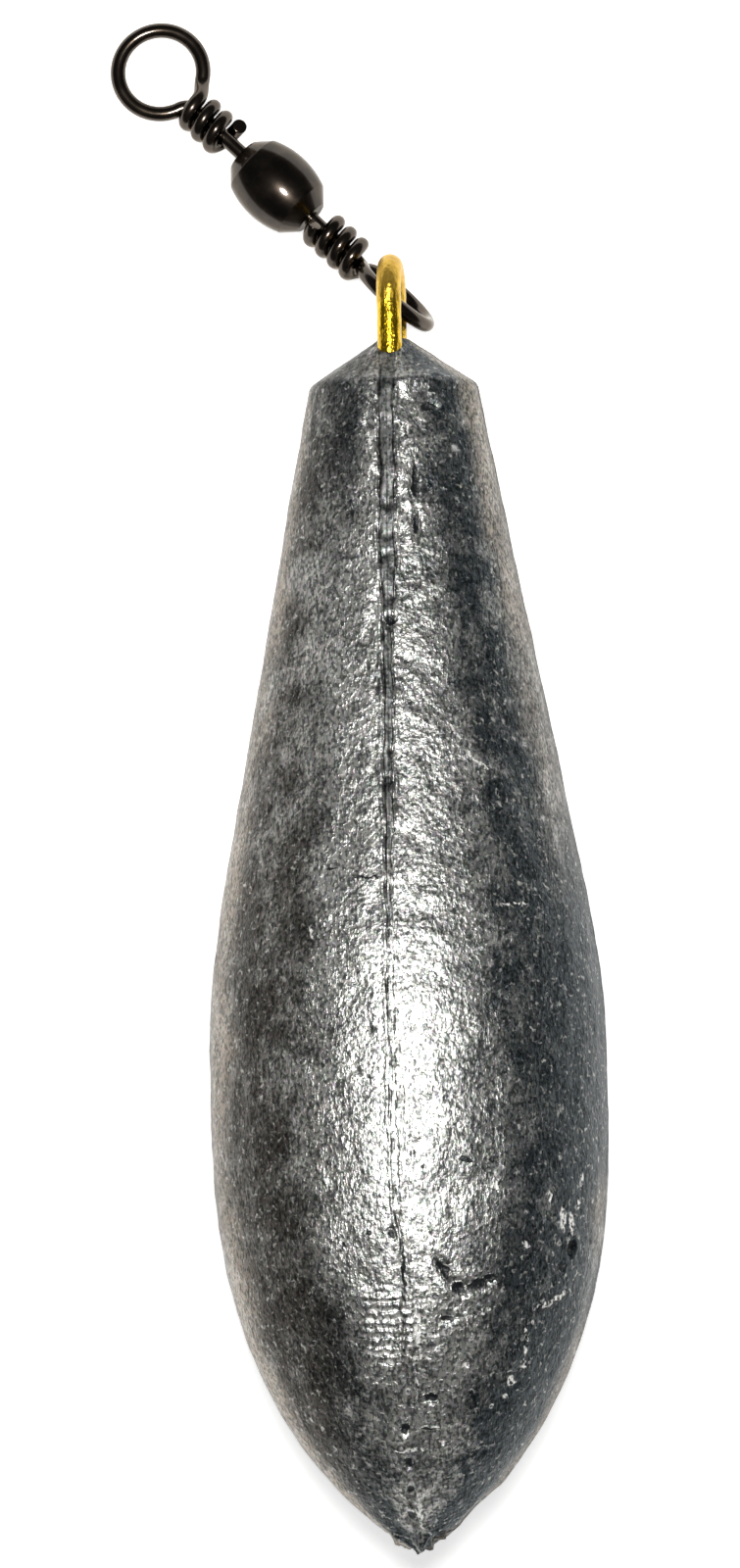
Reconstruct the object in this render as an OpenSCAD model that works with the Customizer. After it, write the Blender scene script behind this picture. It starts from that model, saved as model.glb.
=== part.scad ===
// Fishing sinker: a cast lead body with a brass wire eye, and a barrel swivel linked into the eye.
// It lies on its side on a table, as it was laid down: +Y runs from the tip to the eye, +Z is up,
// and the origin is on the table, under the middle of its box.

/* [Lead body] */
// Length of the casting, from its top under the eye to the tip
body_len = 73; // [60:0.5:100]
// Widest diameter of the casting
body_d = 23.9; // [18:0.1:30]
// Diameter at the shoulder, where the top cone meets the long taper
shoulder_d = 10.2; // [9:0.1:13]
// Diameter of the blunt top of the cone
top_d = 1.8; // [1:0.1:3]
// Half angle of the top cone, measured from the axis
top_angle = 56; // [45:1:70]
// Rounding of the shoulder
shoulder_r = 0.8; // [0.3:0.1:1.5]
// Distance from the top to the widest place
belly_at = 44; // [38:0.5:50]
// Radius of the long curve that leads from the taper into the belly
belly_curve_r = 55; // [40:1:90]
// Length of the straight belly below the widest place
belly_len = 2; // [0:0.5:5]
// How full the nose is below the belly
nose_fullness = 2.6; // [2:0.1:3.5]
// How blunt the nose ends, from a pointed 1 to a round 0.5
nose_bluntness = 0.8; // [0.5:0.05:1]
// Width of the ridge that the two mould halves leave
seam_w = 0.9; // [0.4:0.1:1.5]
// Height of that ridge
seam_h = 0.05; // [0.03:0.01:0.15]
// Depth of the small flat that the soft lead has where it rests
rest_flat = 0.15; // [0.1:0.01:0.3]

/* [Brass eye] */
// Diameter of the brass wire
brass_d = 1.5; // [1.2:0.1:1.8]
// Clear width between the two legs
eye_gap = 2.2; // [2.1:0.1:2.6]
// Clear height of the eye over the top of the lead
eye_h = 3.6; // [3.2:0.1:5]
// Length of the legs cast into the lead
leg_len = 12; // [8:0.5:16]
// Inner bend of the feet that anchor the legs
foot_bend_r = 0.8; // [0.5:0.1:1.2]
// Straight length of each foot
foot_len = 1.2; // [0.5:0.1:1.5]

/* [Swivel wire eyes] */
// Diameter of the swivel's wire
wire_d = 0.9; // [0.7:0.05:1]
// Clear diameter of each ring
ring_hole_d = 4.25; // [4:0.05:5]
// How far the ring's centre stands off the line of the stem
ring_offset = 0.25; // [0:0.05:0.4]
// Inner radius of the bend between the stem and the ring
neck_r = 0.45; // [0.4:0.05:0.8]
// Distance from the ring's centre to the middle of the first wrap
wrap_from = 3; // [2.9:0.05:3.5]
// Turns of the line eye's tail round its stem
line_turns = 3; // [2:0.5:3]
// Turns of the sinker eye's tail round its stem
sinker_turns = 3.5; // [2:0.5:3.5]
// Gap between neighbouring wraps
wrap_gap = 0.09; // [0.03:0.01:0.15]
// Gap between the wraps and the stem
stem_gap = 0.03; // [0.02:0.01:0.1]
// How far the cut end of the tail stands away from the stem
tail_lift = 0.2; // [0:0.05:0.4]
// Diameter of the stem's upset head, inside the barrel
head_d = 2.1; // [1.7:0.1:2.3]
// Thickness of the head
head_len = 0.8; // [0.5:0.1:1]

/* [Swivel barrel] */
// Length of the barrel
barrel_len = 5.7; // [5.2:0.05:7]
// Widest diameter of the barrel
barrel_d = 4.7; // [4.4:0.1:5.6]
// Diameter at the corner where the swaged ends begin
corner_d = 3.9; // [3.7:0.1:4.3]
// Length of each swaged conical end
swage_len = 0.85; // [0.7:0.05:1.1]
// Diameter of the flat face round each hole
face_d = 2.2; // [2:0.05:2.4]
// Thickness of the barrel's wall
wall = 0.5; // [0.4:0.05:0.6]
// Running clearance of the stem in its hole, on the radius
hole_clearance = 0.05; // [0.02:0.01:0.1]
// Bare stem between the wraps and the barrel, when the head is pulled against its seat
bare_len = 1.05; // [0.9:0.05:1.5]
// Play left under the head of the line eye
line_play = 0.1; // [0.05:0.05:0.8]
// Play left under the head of the sinker eye
sinker_play = 0.35; // [0.05:0.05:0.5]

/* [Lie] */
// How far the eye end of the lead dips towards the table
dip = 5.6; // [0:0.1:8]
// How far the lead is rolled about its own axis
roll = 4.8; // [0:0.1:10]
// Turn of the swivel away from the line of the lead
heading = 45.5; // [40:0.5:90]
// Lean of the lower ring from upright
ring_lean = 9; // [0:0.5:15]
// Turn of the upper ring out of flat
ring_turn = 5; // [0:0.5:15]
// Place on the lower ring where it passes the brass eye, from its top towards its far end
link_turn = 13; // [0:1:20]
// How far below the top of the eye the ring's strand lies
link_drop = 1.3; // [1.1:0.05:1.5]
// Gap between the strand and the leg that it hangs over
link_gap = 0.25; // [0.2:0.05:0.35]

/* [Hidden] */
$fn = 72;

body_r = body_d / 2;
brass_r = brass_d / 2;
wire_r = wire_d / 2;
// One overrun serves all cuts
over = wire_r;

// The lead's outline, as points of distance below the top and radius
corner_at = (shoulder_d - top_d) / 2 / tan(top_angle);
to_curve = [belly_at - corner_at, body_r - belly_curve_r - shoulder_d / 2];
taper_angle = atan2(to_curve.y, to_curve.x) + asin(belly_curve_r / norm(to_curve));
shoulder_turn = top_angle - taper_angle;
shoulder_cut = shoulder_r * tan(shoulder_turn / 2);
shoulder_centre = [
    corner_at + shoulder_cut * cos(taper_angle) + shoulder_r * sin(taper_angle),
    shoulder_d / 2 + shoulder_cut * sin(taper_angle) - shoulder_r * cos(taper_angle)
];
nose_at = belly_at + belly_len;
nose_len = body_len - nose_at;
shoulder_steps = 6;
belly_steps = 10;
nose_steps = 24;

function arc_point(centre, r, angle) = centre + r * [-sin(angle), cos(angle)];

function nose_r(share) = body_r * pow(1 - pow(share, nose_fullness), nose_bluntness);

outline = concat(
    [[0, top_d / 2]],
    [for (i = [0:shoulder_steps])
        arc_point(shoulder_centre, shoulder_r, top_angle - shoulder_turn * i / shoulder_steps)],
    [for (i = [0:belly_steps])
        arc_point([belly_at, body_r - belly_curve_r], belly_curve_r,
            taper_angle * (1 - i / belly_steps))],
    [for (i = [0:nose_steps - 1]) let (share = sin(90 * i / nose_steps))
        if (i > 0 || belly_len > 0) [nose_at + nose_len * share, nose_r(share)]]
);

// The brass eye: an arch over two legs that end in outward feet
leg_at = (eye_gap + brass_d) / 2;
arch_at = eye_h - eye_gap / 2;
foot_r = foot_bend_r + brass_r;

// A wire eye: its ring lies in the XZ plane about the origin, and its stem runs down -Z
ring_r = (ring_hole_d + wire_d) / 2;
bend_r = neck_r + wire_r;
stem_top = -sqrt(pow(ring_r + bend_r, 2) - pow(bend_r + ring_offset, 2));
neck_turn = asin(-stem_top / (ring_r + bend_r));
ring_end = 236;
plug_turn = 6;
plug_share = 0.98;
wrap_r = wire_d + stem_gap;
wrap_pitch = wire_d + wrap_gap;
wrap_outer_r = wrap_r + wire_r;
wrap_start = 240;
turn_steps = 24;

function wrap_steps(turns) = round((turns - (wrap_start - 180) / 360) * turn_steps);

wraps_to = wrap_from + wrap_pitch * wrap_steps(line_turns) / turn_steps + wire_r;

// The barrel and what turns in it
inner_r = corner_d / 2 - wall;
hole_r = wire_r + hole_clearance;
side_r = (pow(barrel_len / 2 - swage_len, 2) + pow((barrel_d - corner_d) / 2, 2))
    / (barrel_d - corner_d);
cavity_at = barrel_len / 2 - swage_len;
seat_at = barrel_len / 2 - wall;
seat_r = inner_r - (seat_at - cavity_at) * (corner_d - face_d) / 2 / swage_len;
head_at = wraps_to + bare_len + wall;
line_span = head_at + seat_at - line_play;
sinker_span = head_at + seat_at - sinker_play;

// The tail's centre line: along the ring, over the stem, then round it
tail_sides = 10;
lead_in_steps = 2;
lead_in_turn = 4;
crossing_steps = 8;
lift_steps = turn_steps / 6;
crossing_pull_share = 0.65;
crossing_pull = wire_d * crossing_pull_share;

function ring_point(angle) = [ring_r * cos(angle) - ring_offset, 0, ring_r * sin(angle)];

function ring_way(angle) = [-sin(angle), 0, cos(angle)];

function wrap_point(i, last) = let (angle = wrap_start + 360 * i / turn_steps,
    r = wrap_r + tail_lift * pow(max(0, i - last + lift_steps) / lift_steps, 2))
    [r * cos(angle), -r * sin(angle), -wrap_from - wrap_pitch * i / turn_steps];

function unit(v) = v / norm(v);

function bezier(a, b, c, d, t) =
    a * pow(1 - t, 3) + b * 3 * t * pow(1 - t, 2) + c * 3 * t * t * (1 - t) + d * pow(t, 3);

function wraps(turns) = let (last = wrap_steps(turns)) [for (i = [0:last]) wrap_point(i, last)];

function crossing(a, b, b_way) = [for (i = [0:crossing_steps - 1])
    bezier(a, a + crossing_pull * ring_way(ring_end), b - crossing_pull * b_way, b,
        i / crossing_steps)];

function tail(turns) = let (round = wraps(turns)) concat(
    [for (i = [lead_in_steps:-1:1]) ring_point(ring_end - lead_in_turn * i)],
    crossing(ring_point(ring_end), round[0], unit(round[1] - round[0])),
    round
);

// The least gap from the wraps to themselves, a turn apart, measured on their points
longest = wraps(sinker_turns);
wraps_least_gap = min([for (i = [0:len(longest) - 1],
    k = [i + turn_steps / 2:1:len(longest) - 1]) norm(longest[i] - longest[k])]) - wire_d;
echo(wraps_least_gap = wraps_least_gap);

// Where things lie: vectors in the sinker's own frame and in the swivel's frame, turned to the table's
function turn_x(v, a) = [v.x, v.y * cos(a) - v.z * sin(a), v.y * sin(a) + v.z * cos(a)];

function turn_y(v, a) = [v.x * cos(a) + v.z * sin(a), v.y, v.z * cos(a) - v.x * sin(a)];

function turn_z(v, a) = [v.x * cos(a) - v.y * sin(a), v.x * sin(a) + v.y * cos(a), v.z];

function from_sinker(v) = turn_x(turn_z(v, -roll), -90 - dip);

function from_swivel(v) = turn_z(turn_y(v, 90 + slope), 90 + heading);

// The table cuts the rest flat out of the lowest part of the lead
table_z = min([for (p = outline) p.x * sin(dip) - p.y * cos(dip)]) + rest_flat;

link = from_sinker([0, leg_at - brass_r - wire_r - link_gap, eye_h - link_drop]);

// The swivel slopes until the far side of its upper ring meets the table
slope_down = (ring_r * cos(link_turn) - ring_offset) * cos(ring_lean) + wire_r;
slope_along = ring_r * sin(link_turn) + line_span + sinker_span + ring_r;
slope = asin((link.z - table_z - link_gap) / norm([slope_down, slope_along]))
    - atan2(slope_down, slope_along);

ring_up = from_swivel([-cos(ring_lean), sin(ring_lean), 0]);
swivel_axis = from_swivel([0, 0, 1]);
lower_ring = link - ring_r * (cos(link_turn) * ring_up - sin(link_turn) * swivel_axis);
barrel_at = lower_ring + ring_offset * ring_up + sinker_span * swivel_axis;
upper_ring = barrel_at + line_span * swivel_axis
    + from_swivel(turn_z([0, -ring_offset, 0], ring_turn));
upper_ring_axis = from_swivel(turn_z([1, 0, 0], ring_turn));

// The middle of the whole box, over the table
reach = ring_r + wire_r;
middle = [
    (upper_ring.x - reach + body_r) / 2,
    (upper_ring.y + reach - body_len * cos(dip)) / 2,
    table_z
];
echo(link = link - middle, swivel_axis = swivel_axis, barrel_at = barrel_at - middle);
echo(line_tie = upper_ring - middle, line_tie_axis = upper_ring_axis, slope = slope);
echo(lead_top = -middle, lower_ring = lower_ring - middle, line_span = line_span);

module on_table() {
    translate(-middle) children();
}

module lay_sinker() {
    on_table() rotate([-90 - dip, 0, 0]) rotate([0, 0, -roll]) children();
}

module lay_swivel() {
    on_table() translate(barrel_at) rotate([0, 90 + slope, 90 + heading]) children();
}

module revolve_outline(extra) {
    rotate_extrude() polygon(concat(
        [[0, 0]],
        [for (p = outline) [p.y + extra, -p.x]],
        [[0, -body_len]]
    ));
}

module seam() {
    intersection() {
        revolve_outline(seam_h);
        translate([-seam_w / 2, -body_d, -body_len]) cube([seam_w, 2 * body_d, body_len]);
    }
}

module leg(side) {
    translate([0, side * leg_at, -leg_len]) cylinder(h = leg_len + arch_at, r = brass_r);
    translate([0, side * (leg_at + foot_r), -leg_len]) rotate([90, 0, 90 * side])
        rotate([0, 0, 180]) rotate_extrude(angle = 90) translate([foot_r, 0]) circle(r = brass_r);
    translate([0, side * (leg_at + foot_r), -leg_len - foot_r]) rotate([-90 * side, 0, 0])
        cylinder(h = foot_len, r = brass_r);
}

module eye_wire() {
    translate([0, 0, arch_at]) rotate([90, 0, 90])
        rotate_extrude(angle = 180) translate([leg_at, 0]) circle(r = brass_r);
    leg(1);
    leg(-1);
}

module under_the_table() {
    translate([-body_d, -body_len, -body_d]) cube([2 * body_d, 2 * body_len, body_d]);
}

module lead_body() {
    color("#7c8084") difference() {
        lay_sinker() difference() {
            union() {
                revolve_outline(0);
                seam();
            }
            eye_wire();
        }
        under_the_table();
    }
}

module brass_eye() {
    color("#c79a2a") lay_sinker() eye_wire();
}

// One unbroken tube along a list of points
module tube(points, r, sides) {
    last = len(points) - 1;
    ways = [for (i = [0:last]) unit(points[min(i + 1, last)] - points[max(i - 1, 0)])];
    first_up = unit(cross(ways[0], [0, 1, 0]));
    ups = [for (i = 0, u = first_up; i <= last;
        i = i + 1, u = i > last ? u : unit(u - (u * ways[i]) * ways[i])) u];
    rings = [for (i = [0:last], k = [0:sides - 1]) let (a = 360 * k / sides)
        points[i] + r * (cos(a) * ups[i] + sin(a) * cross(ways[i], ups[i]))];
    walls = [for (i = [0:last - 1], k = [0:sides - 1])
        let (n = (k + 1) % sides, low = i * sides, high = low + sides)
        each [[low + k, high + k, high + n], [low + k, high + n, low + n]]];
    caps = [for (k = [1:sides - 2])
        each [[0, k, k + 1], [last * sides, last * sides + k + 1, last * sides + k]]];
    polyhedron(rings, concat(walls, caps));
}

module stem_and_head() {
    translate([0, 0, -head_at - head_len / 2])
        cylinder(h = head_at + head_len / 2 + stem_top, r = wire_r);
    translate([0, 0, -head_at - head_len]) rotate_extrude() polygon([
        [0, 0],
        [head_d / 2 - wire_r / 2, 0],
        [head_d / 2, wire_r / 2],
        [head_d / 2, head_len],
        [0, head_len]
    ]);
}

// The neck and the tail start a little thinner, inside the ends that they grow out of
module wire_eye(turns) {
    stem_and_head();
    translate([bend_r, 0, stem_top]) rotate([90, 0, 0]) rotate([0, 0, 180 - neck_turn - plug_turn])
        rotate_extrude(angle = neck_turn + 2 * plug_turn)
            translate([bend_r, 0]) circle(r = wire_r * plug_share);
    translate([-ring_offset, 0, 0]) rotate([90, 0, 0]) rotate([0, 0, -neck_turn])
        rotate_extrude(angle = ring_end + neck_turn) translate([ring_r, 0]) circle(r = wire_r);
    tube(tail(turns), wire_r * plug_share, tail_sides);
}

module line_eye() {
    color("#3a3836") lay_swivel() rotate([0, 0, 90 + ring_turn])
        translate([0, 0, line_span]) wire_eye(line_turns);
}

module sinker_eye() {
    color("#35332f") lay_swivel() rotate([0, 0, -ring_lean]) rotate([0, 180, 0])
        translate([0, 0, sinker_span]) wire_eye(sinker_turns);
}

// Half of the barrel's section: a bowed side between two swaged cones
module barrel_section(half, corner, cone, tip, bow) {
    intersection() {
        translate([corner - sqrt(bow * bow - cone * cone), 0]) circle(r = bow);
        polygon([[0, -half], [tip, -half], [corner, -cone], [corner + bow, -cone],
            [corner + bow, cone], [corner, cone], [tip, half], [0, half]]);
    }
}

module swivel_barrel() {
    color("#2c2b2a") lay_swivel() difference() {
        rotate_extrude() barrel_section(barrel_len / 2, corner_d / 2, barrel_len / 2 - swage_len,
            face_d / 2, side_r);
        rotate_extrude() polygon([[0, -seat_at], [seat_r, -seat_at], [inner_r, -cavity_at],
            [inner_r, cavity_at], [seat_r, seat_at], [0, seat_at]]);
        translate([0, 0, -barrel_len / 2 - over]) cylinder(h = barrel_len + 2 * over, r = hole_r);
    }
}

lead_body();
brass_eye();
sinker_eye();
swivel_barrel();
line_eye();
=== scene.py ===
# Looks of a fishing sinker: a cast lead body, its brass eye and a black nickel barrel swivel.
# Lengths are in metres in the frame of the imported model, or in millimetres where a comment says so.

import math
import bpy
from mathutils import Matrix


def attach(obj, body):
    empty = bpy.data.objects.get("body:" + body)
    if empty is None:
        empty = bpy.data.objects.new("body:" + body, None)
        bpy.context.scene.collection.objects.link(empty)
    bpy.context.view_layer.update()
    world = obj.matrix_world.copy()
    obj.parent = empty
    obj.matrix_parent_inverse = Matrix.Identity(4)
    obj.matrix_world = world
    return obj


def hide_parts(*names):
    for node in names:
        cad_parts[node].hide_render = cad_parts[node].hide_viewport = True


bl_info = {
    "name": "Fishing sinker",
    "version": (1, 0, 0),
    "blender": (4, 5, 0),
    "location": "3D View > Sidebar > Sinker",
    "description": "Builds a cast lead sinker with a brass eye and a barrel swivel",
    "category": "Object",
}

from functools import partial

import bpy
import numpy as np
from bpy.props import FloatProperty, FloatVectorProperty, IntProperty, PointerProperty
from mathutils import Color, Matrix, Vector, noise

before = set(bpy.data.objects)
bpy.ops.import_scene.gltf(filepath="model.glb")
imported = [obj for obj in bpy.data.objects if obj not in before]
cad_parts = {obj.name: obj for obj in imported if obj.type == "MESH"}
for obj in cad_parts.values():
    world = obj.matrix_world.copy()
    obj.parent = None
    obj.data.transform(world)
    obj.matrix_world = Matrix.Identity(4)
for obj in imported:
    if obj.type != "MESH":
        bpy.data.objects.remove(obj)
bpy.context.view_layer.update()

MM = 0.001
# Edges sharper than this stay crisp: on the brass wire, and on the plated parts
SHARP_WIRE, SHARP_PLATE = math.radians(50), math.radians(40)


def linear(text):
    """The linear red, green and blue of an sRGB hex colour."""
    shares = [int(text[i : i + 2], 16) / 255 for i in (1, 3, 5)]
    return [s / 12.92 if s <= 0.04045 else ((s + 0.055) / 1.055) ** 2.4 for s in shares]


# Properties: sizes are given in millimetres, angles in degrees and colours in hex


def number_of(name, about, default, **more):
    return FloatProperty(name=name, description=about, default=default, **more)


def size_of(name, about, default):
    return number_of(name, about, default * MM, min=0, unit="LENGTH", precision=5)


def place_of(name, about, *default):
    return FloatVectorProperty(
        name=name, description=about, default=[d * MM for d in default], size=3, unit="LENGTH", precision=5
    )


def angle_of(name, about, default):
    return number_of(name, about, math.radians(default), unit="ROTATION")


def colour_of(name, about, default):
    return FloatVectorProperty(
        name=name, description=about, default=linear(default), size=3, min=0, max=1, subtype="COLOR"
    )


class LieSizes(bpy.types.PropertyGroup):
    """Where the pieces lie on the table."""

    lead_top: place_of("Top of the lead", "Middle of the casting's top", 2.32935, 26.5751, 7.71144)
    dip: angle_of("Dip", "How far the eye end dips towards the table", 5.6)
    roll: angle_of("Roll", "Turn of the casting about its own axis", 4.8)
    barrel_at: place_of("Barrel", "Middle of the barrel", -4.3807, 35.9476, 2.99967)
    slope: angle_of("Slope", "Slope of the swivel towards the table", 10.5259)
    heading: angle_of("Heading", "Turn of the swivel away from the lead", 45.5)
    ring_lean: angle_of("Ring lean", "Lean of the lower ring from upright", 9)
    ring_turn: angle_of("Ring turn", "Turn of the upper ring out of flat", 5)


class LeadSizes(bpy.types.PropertyGroup):
    """The cast body."""

    length: size_of("Length", "From the top to the tip", 73)
    belly_d: size_of("Belly", "Widest diameter", 23.9)
    shoulder_d: size_of("Shoulder", "Diameter where the top cone meets the taper", 10.2)
    top_d: size_of("Top", "Diameter of the blunt top", 1.8)
    top_angle: angle_of("Cone", "Half angle of the top cone", 56)
    shoulder_r: size_of("Shoulder rounding", "Rounding between the cone and the taper", 0.8)
    belly_at: size_of("Belly place", "From the top to the widest place", 44)
    belly_curve_r: size_of("Belly curve", "Radius of the curve from the taper to the belly", 55)
    belly_len: size_of("Belly length", "Length of the straight belly", 2)
    nose_fullness: number_of("Nose fullness", "Power of the nose curve", 2.6)
    nose_bluntness: number_of("Nose bluntness", "Second power of the nose curve", 0.8)
    rows: IntProperty(name="Rows", description="Rows of points from the top to the tip", default=350)
    columns: IntProperty(name="Columns", description="Points round the body", default=280)
    bright: colour_of("Bright lead", "Clean skin that was rubbed", "#d5d5d0")
    # Also painted highlight: the ripples' crests and the bright marks are mixed towards this colour
    glint: colour_of("Fresh lead", "Crests and scratches that were scraped last", "#eae9e4")
    oxide: colour_of("Oxide", "Blue-black oxide in the dull patches", "#3d4447")
    brown: colour_of("Brown oxide", "Brown-black oxide on the left half", "#47443f")
    # Partly painted light: this brown-grey stands in for the card's light that the sides and the nose's edges
    # mirror
    edge_film_and_reflection: colour_of("Warm film", "Brown-grey film of handling", "#a59b8e")
    # Near-black, mixed into the pits, the seam's grooves and the dark marks
    pit: colour_of("Pit", "Dirt in the pits and the seam", "#15181a")


class BrassSizes(bpy.types.PropertyGroup):
    """The brass eye."""

    wire_d: size_of("Wire", "Diameter of the brass wire", 1.5)
    gap: size_of("Gap", "Clear width between the legs", 2.2)
    height: size_of("Height", "Clear height over the lead", 3.6)
    leg_len: size_of("Legs", "Length of the legs in the lead", 12)
    foot_bend_r: size_of("Foot bend", "Inner bend of the feet", 0.8)
    foot_len: size_of("Foot", "Straight length of each foot", 1.2)
    brass: colour_of("Brass", "Clean drawn brass", "#dcb32c")
    stain: colour_of("Stain", "Brown oxide in the drawn lines", "#66520a")
    tan: colour_of("Tan", "Dull brass on the arch", "#cda64c")


class SwivelSizes(bpy.types.PropertyGroup):
    """The two wire eyes and the barrel."""

    wire_d: size_of("Wire", "Diameter of the swivel's wire", 0.9)
    ring_d: size_of("Ring", "Clear diameter of each ring", 4.25)
    ring_offset: size_of("Ring offset", "How far the ring stands off the stem's line", 0.25)
    neck_r: size_of("Neck", "Inner radius of the bend into the ring", 0.45)
    wrap_from: size_of("First wrap", "From the ring's centre to the first wrap", 3)
    line_turns: number_of("Line turns", "Wraps of the line eye", 3)
    sinker_turns: number_of("Sinker turns", "Wraps of the sinker eye", 3.5)
    wrap_gap: size_of("Wrap gap", "Gap between neighbouring wraps", 0.09)
    stem_gap: size_of("Stem gap", "Gap between the wraps and the stem", 0.03)
    tail_lift: size_of("Tail lift", "How far the cut end stands off the stem", 0.2)
    head_d: size_of("Head", "Diameter of the upset head", 2.1)
    head_len: size_of("Head length", "Thickness of the head", 0.8)
    barrel_len: size_of("Barrel length", "Length of the barrel", 5.7)
    barrel_d: size_of("Barrel", "Widest diameter of the barrel", 4.7)
    corner_d: size_of("Corner", "Diameter where the swaged ends begin", 3.9)
    swage_len: size_of("Swage", "Length of each swaged end", 0.85)
    face_d: size_of("Face", "Diameter of the flat face round each hole", 2.2)
    wall: size_of("Wall", "Thickness of the barrel's wall", 0.5)
    hole_clearance: size_of("Clearance", "Clearance of the stem in its hole", 0.05)
    bare_len: size_of("Bare stem", "Stem between the wraps and the barrel", 1.05)
    line_play: size_of("Line play", "Play under the line eye's head", 0.1)
    sinker_play: size_of("Sinker play", "Play under the sinker eye's head", 0.35)
    plate: colour_of("Black nickel", "Colour of the plating", "#2c2621")
    rubbed: colour_of("Rubbed plate", "Brown-grey where the plating has been rubbed", "#5a5046")


class StageSizes(bpy.types.PropertyGroup):
    """Table, light and camera."""

    view_centre: place_of("View centre", "Point of the table under the camera", 0.4, -0.14, 8)
    view_height: size_of("View height", "Height of the view at the object", 94.12)
    view_turn: angle_of("View turn", "Turn of the view about the upright", -1.29)
    distance: size_of("Camera distance", "From the camera to the object", 1500)
    lamp_distance: size_of("Lamp distance", "From the lamp to the object", 500)
    lamp_tilt: angle_of("Lamp tilt", "How far the lamp stands off the camera's line", 5.7)
    lamp_d: size_of("Lamp", "Diameter of the lamp", 110)
    lamp_power: number_of("Lamp power", "Power of the lamp", 2.75, min=0, unit="POWER")
    table_w: size_of("Table", "Width of the table", 1200)
    room_low: number_of("Low light", "Light of the room at the table's level", 0.9)
    room_high: number_of("High light", "Light of the room overhead", 0.07)
    card_lift: number_of("Card lift", "Extra light on the card that only the camera and mirrors see", 0.68)
    paper: colour_of("Paper", "White card under the object", "#f4f4f2")


# Places and meshes


def turn(axis, angle):
    return Matrix.Rotation(angle, 4, axis)


def lead_frame(lie):
    """From the lead's own frame, its top at zero and its tip down Z, to the table's."""
    return Matrix.Translation(lie.lead_top) @ turn("X", -math.pi / 2 - lie.dip) @ turn("Z", -lie.roll)


def swivel_frame(lie):
    """From the swivel's own frame, the barrel's middle at zero and its stems along Z, to the table's."""
    quarter = math.pi / 2
    return Matrix.Translation(lie.barrel_at) @ turn("Z", quarter + lie.heading) @ turn("Y", quarter + lie.slope)


def give(mesh, name, values):
    """Keeps a number or a vector for each point of a mesh, for its material."""
    values = np.asarray(values, np.float32)
    kind, key = ("FLOAT", "value") if values.ndim == 1 else ("FLOAT_VECTOR", "vector")
    mesh.attributes.new(name, kind, "POINT").data.foreach_set(key, values.ravel())


def new_object(name, data):
    """A new object in the scene."""
    made = bpy.data.objects.new(name, data)
    bpy.context.scene.collection.objects.link(made)
    return made


def new_piece(name, points, faces, place, body, node, slot, material, smooth_angle=None):
    """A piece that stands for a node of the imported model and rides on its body.

    Its points go to the table's frame. The attribute "own" keeps them as they were, for its patterns.
    """
    own = np.array([tuple(p) for p in points], float)
    placed = own @ np.array(place.to_3x3()).T + np.array(place.translation)
    mesh = bpy.data.meshes.new(name)
    mesh.from_pydata(placed.tolist(), [], faces)
    give(mesh, "own", own)
    mesh.validate()
    mesh.shade_smooth()
    if smooth_angle:
        mesh.set_sharp_from_angle(angle=smooth_angle)
    piece = new_object(name, mesh)
    mesh.materials.append(material)
    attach(piece, body)
    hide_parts(node)
    return piece


def grid_faces(rows, columns):
    """Quads between closed rings of points, and a fan at each end."""
    around = [(k, (k + 1) % columns) for k in range(columns)]
    faces = []
    for low, high in ((i * columns, (i + 1) * columns) for i in range(rows - 1)):
        faces += [(low + k, low + j, high + j, high + k) for k, j in around]
    first, last, end = rows * columns, rows * columns + 1, (rows - 1) * columns
    return faces + [(j, k, first) for k, j in around] + [(end + k, end + j, last) for k, j in around]


def sweep(line, radii, columns, bumps=None):
    """A tube along a line of points: its points and faces. The radii may change on the spot."""
    line = np.array(line, float)
    same_place = 1e-7
    ways = np.zeros_like(line)
    for i in range(len(line)):
        before, after = i, i
        while before > 0 and np.linalg.norm(line[i] - line[before]) < same_place:
            before -= 1
        while after < len(line) - 1 and np.linalg.norm(line[after] - line[i]) < same_place:
            after += 1
        back = (line[i] - line[before]) / (np.linalg.norm(line[i] - line[before]) or 1)
        ahead = (line[after] - line[i]) / (np.linalg.norm(line[after] - line[i]) or 1)
        ways[i] = (back + ahead) / np.linalg.norm(back + ahead)
    # Any direction that the line doesn't start along will do
    up = np.cross(ways[0], [0.2, 1, 0.1])
    rings = []
    for middle, way, r in zip(line, ways, radii):
        up = up - (up @ way) * way
        up /= np.linalg.norm(up)
        side = np.cross(way, up)
        for k in range(columns):
            a = 2 * math.pi * k / columns
            out = math.cos(a) * up + math.sin(a) * side
            p = middle + r * out
            if bumps:
                p = p + out * bumps(p)
            rings.append(p)
    rings += [line[0], line[-1]]
    return rings, [f[::-1] for f in grid_faces(len(line), columns)]


def arc(centre, r, start, end, steps, plane="XZ"):
    """Points of an arc. Its plane is XZ or YZ."""
    found = []
    for i in range(steps + 1):
        a = start + (end - start) * i / steps
        across, up = r * math.cos(a), centre[2] + r * math.sin(a)
        found.append(Vector((centre[0] + across, 0, up) if plane == "XZ" else (0, centre[1] + across, up)))
    return found


def rough(p, size, depth=3):
    """Even noise about zero at a point, with features of that size."""
    return noise.fractal(Vector(p) / size, 1, 2, depth, noise_basis="PERLIN_ORIGINAL")


# Materials

# Sockets of a Mix node that mixes colours, by their places in its lists
SHARE, UNDER, OVER, MIXED = 0, 6, 7, 2


def add_node(tree, kind, inputs=None, out=0, **settings):
    """Adds a node with its settings and links, and gives back one of its outputs.

    Its kind leaves out "ShaderNode". An input is a value, a colour, or the output that is linked to it.
    """
    node = tree.nodes.new("ShaderNode" + kind)
    for key, value in settings.items():
        setattr(node, key, value)
    for key, value in (inputs or {}).items():
        if isinstance(value, bpy.types.NodeSocket):
            tree.links.new(value, node.inputs[key])
        else:
            node.inputs[key].default_value = (*value, 1) if isinstance(value, Color) else value
    return node.outputs[out] if node.outputs else node


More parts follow.
